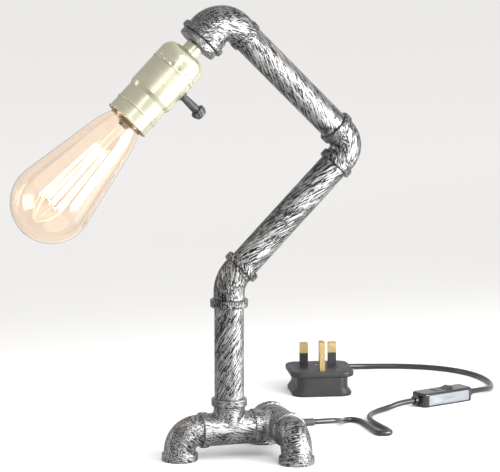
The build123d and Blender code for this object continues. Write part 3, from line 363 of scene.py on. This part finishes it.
def objectPlace(tree, origin=(0, 0, 0), turn=(0, 0, 0)):
    # object coordinates moved and turned into the piece's own axes
    coordinate = tree.nodes.new("ShaderNodeTexCoord")
    mapping = tree.nodes.new("ShaderNodeMapping")
    mapping.vector_type = "TEXTURE"
    mapping.inputs["Location"].default_value = origin
    mapping.inputs["Rotation"].default_value = turn
    tree.links.new(coordinate.outputs["Object"], mapping.inputs["Vector"])
    return mapping.outputs[0]


def bumpFrom(tree, shader, height, distance, strength=1.0):
    bump = tree.nodes.new("ShaderNodeBump")
    bump.inputs["Distance"].default_value = distance
    bump.inputs["Strength"].default_value = strength
    tree.links.new(height, bump.inputs["Height"])
    tree.links.new(bump.outputs[0], shader.inputs["Normal"])


# the pairs run from bare black to full silver
iron = {
    "black": (0.003, 0.0029, 0.0029),
    "silver": (0.60, 0.598, 0.595),
    "silverDim": (0.44, 0.438, 0.435),
    "rust": (0.085, 0.042, 0.03),
    "rustShare": 0.4,
    "metallic": (0.1, 0.95),
    "roughness": (0.34, 0.30),
    "coat": 0.5,
    "coatRoughness": 0.25,
    "gloss": 0.15,
    "strokeHeight": 0.00006,
    "strokeStrength": 0.6,
}


def ironMaterial(name, origin, axis, twist, length=0.016, width=0.00072, cover=0.48):
    # the piece's own Z follows the axis that the strokes run along, and the twist is in radians
    # per metre of it
    axis = unit(axis)
    turn = (0.0, math.acos(axis[2]), math.atan2(axis[1], axis[0]))
    material, tree, shader = newMaterial(name, {
        "Coat Weight": iron["coat"], "Coat Roughness": iron["coatRoughness"],
        "Specular IOR Level": iron["gloss"]})
    strokes = placeGroup(tree, dryBrush, {
        "Place": objectPlace(tree, tuple(origin), turn), "Twist": twist, "Length": length,
        "Width": width, "Cover": cover})
    silver, patch, rust = (strokes[label] for label in ("Silver", "Patch", "Rust"))
    under = mixColor(tree, mathNode(tree, "MULTIPLY", rust, iron["rustShare"]),
                     iron["black"], iron["rust"])
    over = mixColor(tree, patch, iron["silverDim"], iron["silver"])
    feed(tree, shader.inputs["Base Color"], mixColor(tree, silver, under, over))
    feed(tree, shader.inputs["Metallic"], mapRange(tree, silver, 0.0, 1.0, *iron["metallic"]))
    feed(tree, shader.inputs["Roughness"], mapRange(tree, silver, 0.0, 1.0, *iron["roughness"]))
    bumpFrom(tree, shader, silver, iron["strokeHeight"], iron["strokeStrength"])
    return material


def plainMaterial(name, color, roughness, metallic=0.0, coat=0.0, grain=0.0, grainScale=900.0,
                  colorShare=0.0):
    # one finish with a slow change of roughness and, where asked, of colour and a fine grain
    material, tree, shader = newMaterial(name, {
        "Base Color": color, "Metallic": metallic, "Coat Weight": coat,
        "Coat Roughness": plain["coatRoughness"]})
    uneven = placeGroup(tree, unevenFinish, {
        "Place": objectPlace(tree), "Roughness": roughness, "GrainScale": grainScale})
    feed(tree, shader.inputs["Roughness"], uneven["Roughness"])
    if colorShare:
        darker = tuple(part * (1 - colorShare) for part in color)
        feed(tree, shader.inputs["Base Color"],
             mixColor(tree, uneven["Shade"], darker, color))
    if grain:
        bumpFrom(tree, shader, uneven["Grain"], grain)
    return material


def glassMaterial(name, color):
    return newMaterial(name, {"Base Color": color, "Roughness": 0.0, "IOR": 1.45,
                              "Transmission Weight": 1.0})[0]


# the lit filament, a little uneven along its wire
glow = {
    "color": (1.0, 0.72, 0.40),
    "strength": 12.0,
    "wire": (0.3, 0.15, 0.06),
    "roughness": 0.6,
    "scale": 60.0,
    "levels": (0.35, 0.65),
    "brighter": 1.15,
}


def glowMaterial(name):
    material, tree, shader = newMaterial(name, {
        "Base Color": glow["wire"], "Roughness": glow["roughness"],
        "Emission Strength": glow["strength"]})
    uneven = mapRange(tree, noiseNode(tree, objectPlace(tree), glow["scale"]), *glow["levels"])
    hotter = tuple(min(1.0, part * glow["brighter"]) for part in glow["color"])
    feed(tree, shader.inputs["Emission Color"], mixColor(tree, uneven, glow["color"], hotter))
    return material


flexSheath = plainMaterial("flexSheath", (0.022, 0.022, 0.023), 0.16, coat=0.5, colorShare=0.1)
sleeveRubber = plainMaterial("sleeveRubber", (0.05, 0.05, 0.052), 0.5, grain=0.00003)
switchGloss = plainMaterial("switchGloss", (0.012, 0.012, 0.014), 0.12, coat=0.8)
rockerGloss = plainMaterial("rockerGloss", (0.025, 0.025, 0.027), 0.2, coat=0.4)
plugPlastic = plainMaterial("plugPlastic", (0.026, 0.026, 0.028), 0.38, grain=0.00002,
                            grainScale=1500.0)
sleevePlastic = plainMaterial("sleevePlastic", (0.02, 0.02, 0.022), 0.45)
pinBrass = plainMaterial("pinBrass", (0.83, 0.62, 0.30), 0.25, metallic=1.0, colorShare=0.12)
contactBrass = plainMaterial("contactBrass", (0.75, 0.56, 0.28), 0.35, metallic=1.0,
                             colorShare=0.15)
holderBrass = plainMaterial("holderBrass", (0.73, 0.71, 0.53), 0.24, metallic=0.82,
                            colorShare=0.05)
platedSteel = plainMaterial("platedSteel", (0.66, 0.64, 0.58), 0.28, metallic=1.0,
                            colorShare=0.08)
darkBush = plainMaterial("darkBush", (0.03, 0.03, 0.03), 0.4, metallic=0.4)
knobMetal = plainMaterial("knobMetal", (0.085, 0.087, 0.09), 0.38, metallic=0.55,
                          colorShare=0.15)
linerFibre = plainMaterial("linerFibre", (0.78, 0.66, 0.50), 0.8)
paleInsulator = plainMaterial("paleInsulator", (0.66, 0.60, 0.50), 0.45)
solder = plainMaterial("solder", (0.55, 0.55, 0.56), 0.4, metallic=1.0)
capBrass = plainMaterial("capBrass", (0.90, 0.80, 0.62), 0.4, metallic=0.4)
plateSatin = plainMaterial("plateSatin", (0.20, 0.213, 0.232), 0.4)
capGlass = plainMaterial("capGlass", (0.02, 0.02, 0.024), 0.1, coat=0.5)
fuseCeramic = plainMaterial("fuseCeramic", (0.75, 0.73, 0.68), 0.35, coat=0.3)
supportWire = plainMaterial("supportWire", (0.34, 0.24, 0.16), 0.4, metallic=0.8)
amberGlass = glassMaterial("amberGlass", (1.0, 0.90, 0.80))
stemGlass = glassMaterial("stemGlass", (1.0, 0.93, 0.85))
filamentGlow = glowMaterial("filamentGlow")

columnTop = joints["column_swivel"]["pos_m"]
kneeTurn, kneeAxis = (joints["knee_swivel"][part] for part in ("pos_m", "axis"))
headTurn, headAxis = (joints["head_swivel"][part] for part in ("pos_m", "axis"))
runHeight = (0.0, 0.0, flex["sleeveEnd"][2])
legRun = (0.5 * (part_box("leg_tee")[0][0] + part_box("leg_tee")[1][0]), 0.0, runHeight[2])

nodeMaterials = {
    "column_pipe": ironMaterial("columnIron", column, upward, twist=-72.0),
    "lower_arm_pipe": ironMaterial("lowerArmIron", kneeTurn, kneeAxis, twist=-42.0,
                                   cover=0.28),
    "upper_arm_pipe": ironMaterial("upperArmIron", headTurn, headAxis, twist=-45.0),
    "column_tee": ironMaterial("columnTeeIron", column + runHeight, (0.9, 0, -0.35),
                               twist=15.0, length=0.022, width=0.0006, cover=0.66),
    "leg_tee": ironMaterial("legTeeIron", legRun, (0.2, 0.9, 0.2), twist=20.0,
                            width=0.00055, cover=0.55),
    "elbow_45": ironMaterial("bendIron", columnTop, (0.3, 0.1, 0.9), twist=35.0, cover=0.2),
    "knee_elbow": ironMaterial("kneeIron", kneeTurn, (0.25, 0.2, 0.9), twist=20.0,
                               width=0.0006, cover=0.16),
    "head_elbow": ironMaterial("headIron", headTurn, (0.9, 0.1, -0.4), twist=18.0,
                               cover=0.34),
    "head_bushing": ironMaterial("bushingIron", headTurn, (0.5, 0.6, -0.5), twist=20.0),
    "cable_sleeve": sleeveRubber, "base_flex": flexSheath, "lower_arm_flex": flexSheath,
    "upper_arm_flex": flexSheath, "head_flex": flexSheath, "switch_base": switchGloss,
    "switch_cover": switchGloss, "switch_rocker": rockerGloss, "switch_screw": platedSteel,
    "switch_contacts": contactBrass, "switch_leads": flexSheath, "plug_cover": plugPlastic,
    "plug_face": plugPlastic, "live_pin": pinBrass, "neutral_pin": pinBrass,
    "earth_pin": pinBrass, "pin_sleeves": sleevePlastic, "plug_screw": platedSteel,
    "plug_relief": sleeveRubber, "plug_lead": flexSheath, "fuse_carrier": plugPlastic,
    "fuse": fuseCeramic, "head_nipple": platedSteel, "locknut": platedSteel,
    "socket_cap": holderBrass, "socket_shell": holderBrass, "socket_liner": linerFibre,
    "socket_interior": paleInsulator, "terminal_screws": contactBrass,
    "screw_shell": contactBrass, "centre_contact": contactBrass, "switch_bush": darkBush,
    "switch_shaft": platedSteel, "turn_knob": knobMetal, "bulb_glass": amberGlass,
    "bulb_cap": capBrass, "bulb_insulator": capGlass, "bulb_contact": solder,
    "bulb_stem": stemGlass, "support_wires": supportWire, "filament": filamentGlow,
}
for node, axis in (("left_foot_elbow", (0.55, 0.25, -0.5)),
                   ("front_foot_elbow", (0.95, -0.30, 0.06)),
                   ("rear_foot_elbow", (0.95, -0.1, 0.1))):
    low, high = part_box(node)
    middle = tuple(0.5 * (a + b) for a, b in zip(low, high))
    nodeMaterials[node] = ironMaterial(node + "Iron", middle, axis, twist=10.0, length=0.019,
                                       width=0.0008, cover=0.58)


def nodePoints(node):
    # a CAD node's vertices in the shared frame
    mesh = frame["nodes"][node].data
    points = np.empty(3 * len(mesh.vertices))
    mesh.vertices.foreach_get("co", points)
    return points.reshape(-1, 3)


def aroundAxis(axis):
    # the axis as a unit vector with two more that are square to it
    axis = unit(axis)
    first = unit(np.cross(axis, upward))
    return axis, first, np.cross(axis, first)


def turnedPlace(node, axis):
    # where a turned node lies: the point of its axis nearest the origin, its reach along the
    # axis and its greatest radius
    axis, first, second = aroundAxis(axis)
    points = nodePoints(node)
    middle = np.zeros(3)
    for side in (first, second):
        across = points @ side
        middle += side * 0.5 * (across.min() + across.max())
    along = points @ axis
    radius = np.linalg.norm(points - middle - np.outer(along, axis), axis=1)
    return middle, along.min(), along.max(), radius.max()


def gridPiece(name, points, material, body):
    # a grid of rows by columns that closes on itself both ways, as a ring's skin does
    rows, columns = points.shape[:2]
    row, column = np.meshgrid(np.arange(rows), np.arange(columns), indexing="ij")
    nextRow, nextColumn = (row + 1) % rows, (column + 1) % columns
    faces = np.stack([row * columns + column, nextRow * columns + column,
                      nextRow * columns + nextColumn, row * columns + nextColumn],
                     axis=-1).reshape(-1, 4)
    points = points.reshape(-1, 3)
    # the skin encloses a positive volume when its faces look outward
    a, b, c, d = (points[faces[:, i]] for i in range(4))
    if np.sum(a * (np.cross(b, c) + np.cross(c, d))) < 0:
        faces = faces[:, ::-1]
    data = bpy.data.meshes.new(name)
    data.from_pydata(points.tolist(), [], faces.tolist())
    data.polygons.foreach_set("use_smooth", np.ones(len(faces), bool))
    data.materials.append(material)
    piece = newObject(name, data)
    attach(piece, body)
    return piece


def corner(along, radius, size, start, end, count):
    # a round corner of a section, as rows of (along + size x cos, radius + size x sin)
    angles = np.radians(np.linspace(start, end, count))
    return np.column_stack([along + size * np.cos(angles), radius + size * np.sin(angles)])


# the lampholder's cap: neck, dome and skirt, with pressed dimples and a rolled rim
holderCap = {
    "neckRadius": 0.0067,
    "neckLength": 0.0079,
    "neckRound": 0.0010,
    "shoulderRound": 0.0085,
    "wall": 0.0006,
    "dimples": 18,
    "dimpleSize": 0.0012,
    "dimpleDepth": 0.0008,
    "dimpleRise": 0.0017,
    "rimRoll": 0.0004,
    "rimRollSize": 0.0004,
    "neckRows": 6,
    "neckBendRows": 7,
    "domeRows": 8,
    "shoulderRows": 26,
    "skirtRows": 34,
    "insideRows": (8, 16, 4, 4),
    "around": 540,
}


def makeHolderCap():
    # the cap's section is carried round the lamp's line: point = middle + axis x along
    # + radius x (first x cos + second x sin). A ring of dimples is pressed into the skirt, each
    # lowering the radius by depth x exp(-(distance / size) squared), and the rim is rolled out
    cap = holderCap
    axis, first, second = aroundAxis(joints["bulb_unscrew"]["axis"])
    if np.mean(nodePoints("bulb_glass") @ axis) < np.mean(nodePoints("socket_cap") @ axis):
        axis = -axis
    middle, start, rim, radius = turnedPlace("socket_cap", axis)
    top = start + cap["neckLength"]
    neck, turn, bend, wall = (cap[size] for size in ("neckRadius", "neckRound",
                                                     "shoulderRound", "wall"))
    outside = np.vstack([
        np.linspace((start, neck), (top - turn, neck), cap["neckRows"]),
        corner(top - turn, neck + turn, turn, -90, 0, cap["neckBendRows"])[1:],
        np.linspace((top, neck + turn), (top, radius - bend), cap["domeRows"])[1:],
        corner(top + bend, radius - bend, bend, 180, 90, cap["shoulderRows"])[1:],
        np.linspace((top + bend, radius), (rim, radius), cap["skirtRows"])[1:]])
    skirtRows, shoulderRows, domeRows, neckRows = cap["insideRows"]
    inside = np.vstack([
        np.linspace((rim, radius - wall), (top + bend, radius - wall), skirtRows),
        corner(top + bend, radius - bend, bend - wall, 90, 180, shoulderRows)[1:],
        np.linspace((top + wall, radius - bend), (top + wall, neck - wall), domeRows)[1:],
        np.linspace((top + wall, neck - wall), (start, neck - wall), neckRows)[1:]])
    angle = np.linspace(0, 2 * np.pi, cap["around"], endpoint=False)[:, None]
    along = np.concatenate([outside[:, 0], inside[:, 0]])[None, :]
    reach = np.tile(np.concatenate([outside[:, 1], inside[:, 1]]), (cap["around"], 1))
    # distance to the nearest dimple's middle, round the skirt and along it
    pitch = 2 * np.pi / cap["dimples"]
    sideways = radius * (np.mod(angle, pitch) - pitch / 2)
    away = np.hypot(sideways, along - (rim - cap["dimpleRise"]))
    outer = np.arange(along.shape[1])[None, :] < len(outside)
    dent = cap["dimpleDepth"] * np.exp(-(away / cap["dimpleSize"]) ** 2)
    rollSize = cap["rimRollSize"]
    roll = cap["rimRoll"] * np.exp(-((along - rim + rollSize) / rollSize) ** 2)
    reach = reach + np.where(outer & (reach > radius - turn), roll - dent, 0.0)
    points = (middle + along[..., None] * axis
              + reach[..., None] * (np.cos(angle)[..., None] * first
                                    + np.sin(angle)[..., None] * second))
    piece = gridPiece("holderCap", points, holderBrass, "head")
    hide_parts("socket_cap")


# the bare satin plate on the switch's side; sunk, bevelStart and bevelIn are shares of its
# thickness
switchPlate = {
    "length": 0.0395,
    "low": 0.0013,
    "high": 0.0090,
    "thickness": 0.00035,
    "corner": 0.0012,
    "cornerRows": 8,
    "sunk": 0.3,
    "bevelStart": 0.7,
    "bevelIn": 0.3,
}


def makeSwitchPlate():
    # a rounded rectangle's outline, taken back to the switch's side and drawn in to the middle
    # of its front and its back: point = base + outward x depth + outline x scale
    plate = switchPlate
    outward = np.array([switchAlong[1], -switchAlong[0], 0.0])
    face = np.max((nodePoints("switch_cover") - switchMiddle) @ outward)
    half, size = plate["length"] / 2, plate["corner"]
    rise = (plate["high"] - plate["low"]) / 2
    centers = [(half - size, rise - size, 0), (size - half, rise - size, 90),
               (size - half, size - rise, 180), (half - size, size - rise, 270)]
    outline = np.vstack([corner(x, y, size, start, start + 90, plate["cornerRows"])
                         for x, y, start in centers])
    shrink = 1 - plate["bevelIn"] * plate["thickness"] / rise
    depths = face + plate["thickness"] * np.array(
        [-plate["sunk"], plate["bevelStart"], 1.0, 1.0, -plate["sunk"]])
    scales = np.array([1.0, 1.0, shrink, 0.0, 0.0])
    base = column + (*flex["switchCentre"], 0.5 * (plate["low"] + plate["high"]))
    points = (base + depths[None, :, None] * outward
              + outline[:, None, :1] * scales[None, :, None] * switchAlong
              + outline[:, None, 1:] * scales[None, :, None] * upward)
    return gridPiece("switchPlate", points, plateSatin, "base")


makeHolderCap()
plate = makeSwitchPlate()
print("lampholder cap and switch plate made")

for node, material in nodeMaterials.items():
    mesh = frame["nodes"][node].data
    mesh.materials.clear()
    mesh.materials.append(material)
for cord in (lampCord, plugCord):
    cord.data.materials.append(flexSheath)
print("materials placed")

# directions are from the lamp: turn is from the camera's side toward its right, in degrees
studio = {
    "worldLeft": (0.44, 0.44, 0.445),
    "worldRight": (0.80, 0.80, 0.79),
    "worldLean": (-0.45, 0.6),
    "throughGlass": (0.90, 0.89, 0.88),
    "panels": {
        "key": {"turn": 70.0, "height": 0.20, "reach": 0.55, "aim": 0.20,
                "size": (0.5, 0.4), "watts": 6.5},
        "side": {"turn": -100.0, "height": 0.60, "reach": 1.5, "aim": 0.60,
                 "size": (0.25, 1.2), "watts": 2.0},
        "top": {"turn": 32.0, "height": 1.15, "reach": 1.4, "aim": 0.16,
                "size": (1.7, 0.9), "watts": 11.0},
    },
    "overhead": {"turn": -40.0, "lift": 72.0, "angle": 60.0, "strength": 1.42},
}
# the floor's colours, painted lighter near the lamp as painted light over the panels' shadows and
# darker behind it as painted shade where the light falls off, with the stretch over which each
# gives way to the next: back from the lamp for what the camera sees, and toward the camera's
# right for what reflections see
paper = {
    "halfSize": 8.0,
    "near": (0.95, 0.95, 0.945),
    "behind": (0.72, 0.712, 0.70),
    "behindStretch": (0.0, 0.62),
    "far": (0.80, 0.788, 0.775),
    "farStretch": (0.6, 1.4),
    "mirrorLeft": (0.28, 0.28, 0.28),
    "mirrorRight": (0.72, 0.72, 0.71),
    "mirrorStretch": (-0.4, 0.6),
    "roughness": 0.9,
    "gloss": 0.1,
}
cameraTurn = math.atan2(camera["place"][1] - camera["target"][1],
                        camera["place"][0] - camera["target"][0])


def towardLight(turn, lift):
    # (cos rise x cos bearing, cos rise x sin bearing, sin rise)
    bearing, rise = cameraTurn + math.radians(turn), math.radians(lift)
    return np.array([math.cos(rise) * math.cos(bearing), math.cos(rise) * math.sin(bearing),
                     math.sin(rise)])


rightHand = towardLight(90.0, 0.0)


def makeFloor():
    size = paper["halfSize"]
    data = bpy.data.meshes.new("floor")
    corners = [(-size, -size, 0), (size, -size, 0), (size, size, 0), (-size, size, 0)]
    data.from_pydata(corners, [], [(0, 1, 2, 3)])
    floor = newObject("floor", data)
    material, tree, shader = newMaterial("palePaper", {
        "Roughness": paper["roughness"], "Specular IOR Level": paper["gloss"]})
    place = objectPlace(tree)
    back = axisPart(tree, place, 1)
    # painted light near the lamp and painted shade behind it, in the floor colour the camera sees
    near = mixColor(tree, mapRange(tree, back, *paper["behindStretch"]), paper["near"],
                    paper["behind"])
    seen = mixColor(tree, mapRange(tree, back, *paper["farStretch"]), near, paper["far"])
    # reflections see a darker floor, darkest at the camera's left, so that black stays black
    right = vectorMath(tree, "DOT_PRODUCT", place, tuple(rightHand))
    mirrored = mixColor(tree, mapRange(tree, right, *paper["mirrorStretch"]),
                        paper["mirrorLeft"], paper["mirrorRight"])
    path = tree.nodes.new("ShaderNodeLightPath")
    mirror = mathNode(tree, "SUBTRACT", path.outputs["Is Glossy Ray"],
                      path.outputs["Is Transmission Ray"], clamp=True)
    feed(tree, shader.inputs["Base Color"], mixColor(tree, mirror, seen, mirrored))
    data.materials.append(material)


def makeWorld():
    # darker at the camera's left than at its right, and pale all round through glass
    world = bpy.data.worlds.new("studio")
    scene.world = world
    world.use_nodes = True
    tree = world.node_tree
    toward = tree.nodes.new("ShaderNodeTexCoord").outputs["Generated"]
    lean = vectorMath(tree, "DOT_PRODUCT", toward, tuple(rightHand))
    sky = mixColor(tree, mapRange(tree, lean, *studio["worldLean"]), studio["worldLeft"],
                   studio["worldRight"])
    path = tree.nodes.new("ShaderNodeLightPath")
    feed(tree, tree.nodes["Background"].inputs[0],
         mixColor(tree, path.outputs["Is Transmission Ray"], sky, studio["throughGlass"]))


def makePanel(name, turn, height, reach, aim, size, watts):
    data = bpy.data.lights.new(name, "AREA")
    data.shape = "RECTANGLE"
    data.size, data.size_y = size
    data.energy = watts
    place = column + towardLight(turn, 0.0) * reach + upward * height
    faceFrom(newObject(name, data), place, place - column - upward * aim)


def makeOverhead(turn, lift, angle, strength):
    # a wide soft light from above, kept out of reflections
    data = bpy.data.lights.new("overhead", "SUN")
    data.angle, data.energy = math.radians(angle), strength
    lamp = newObject("overhead", data)
    faceFrom(lamp, (0, 0, 0), towardLight(turn, lift))
    lamp.visible_glossy = False


makeFloor()
makeWorld()
for name, panel in studio["panels"].items():
    makePanel(name + "Panel", **panel)
makeOverhead(**studio["overhead"])
print("stage lit")
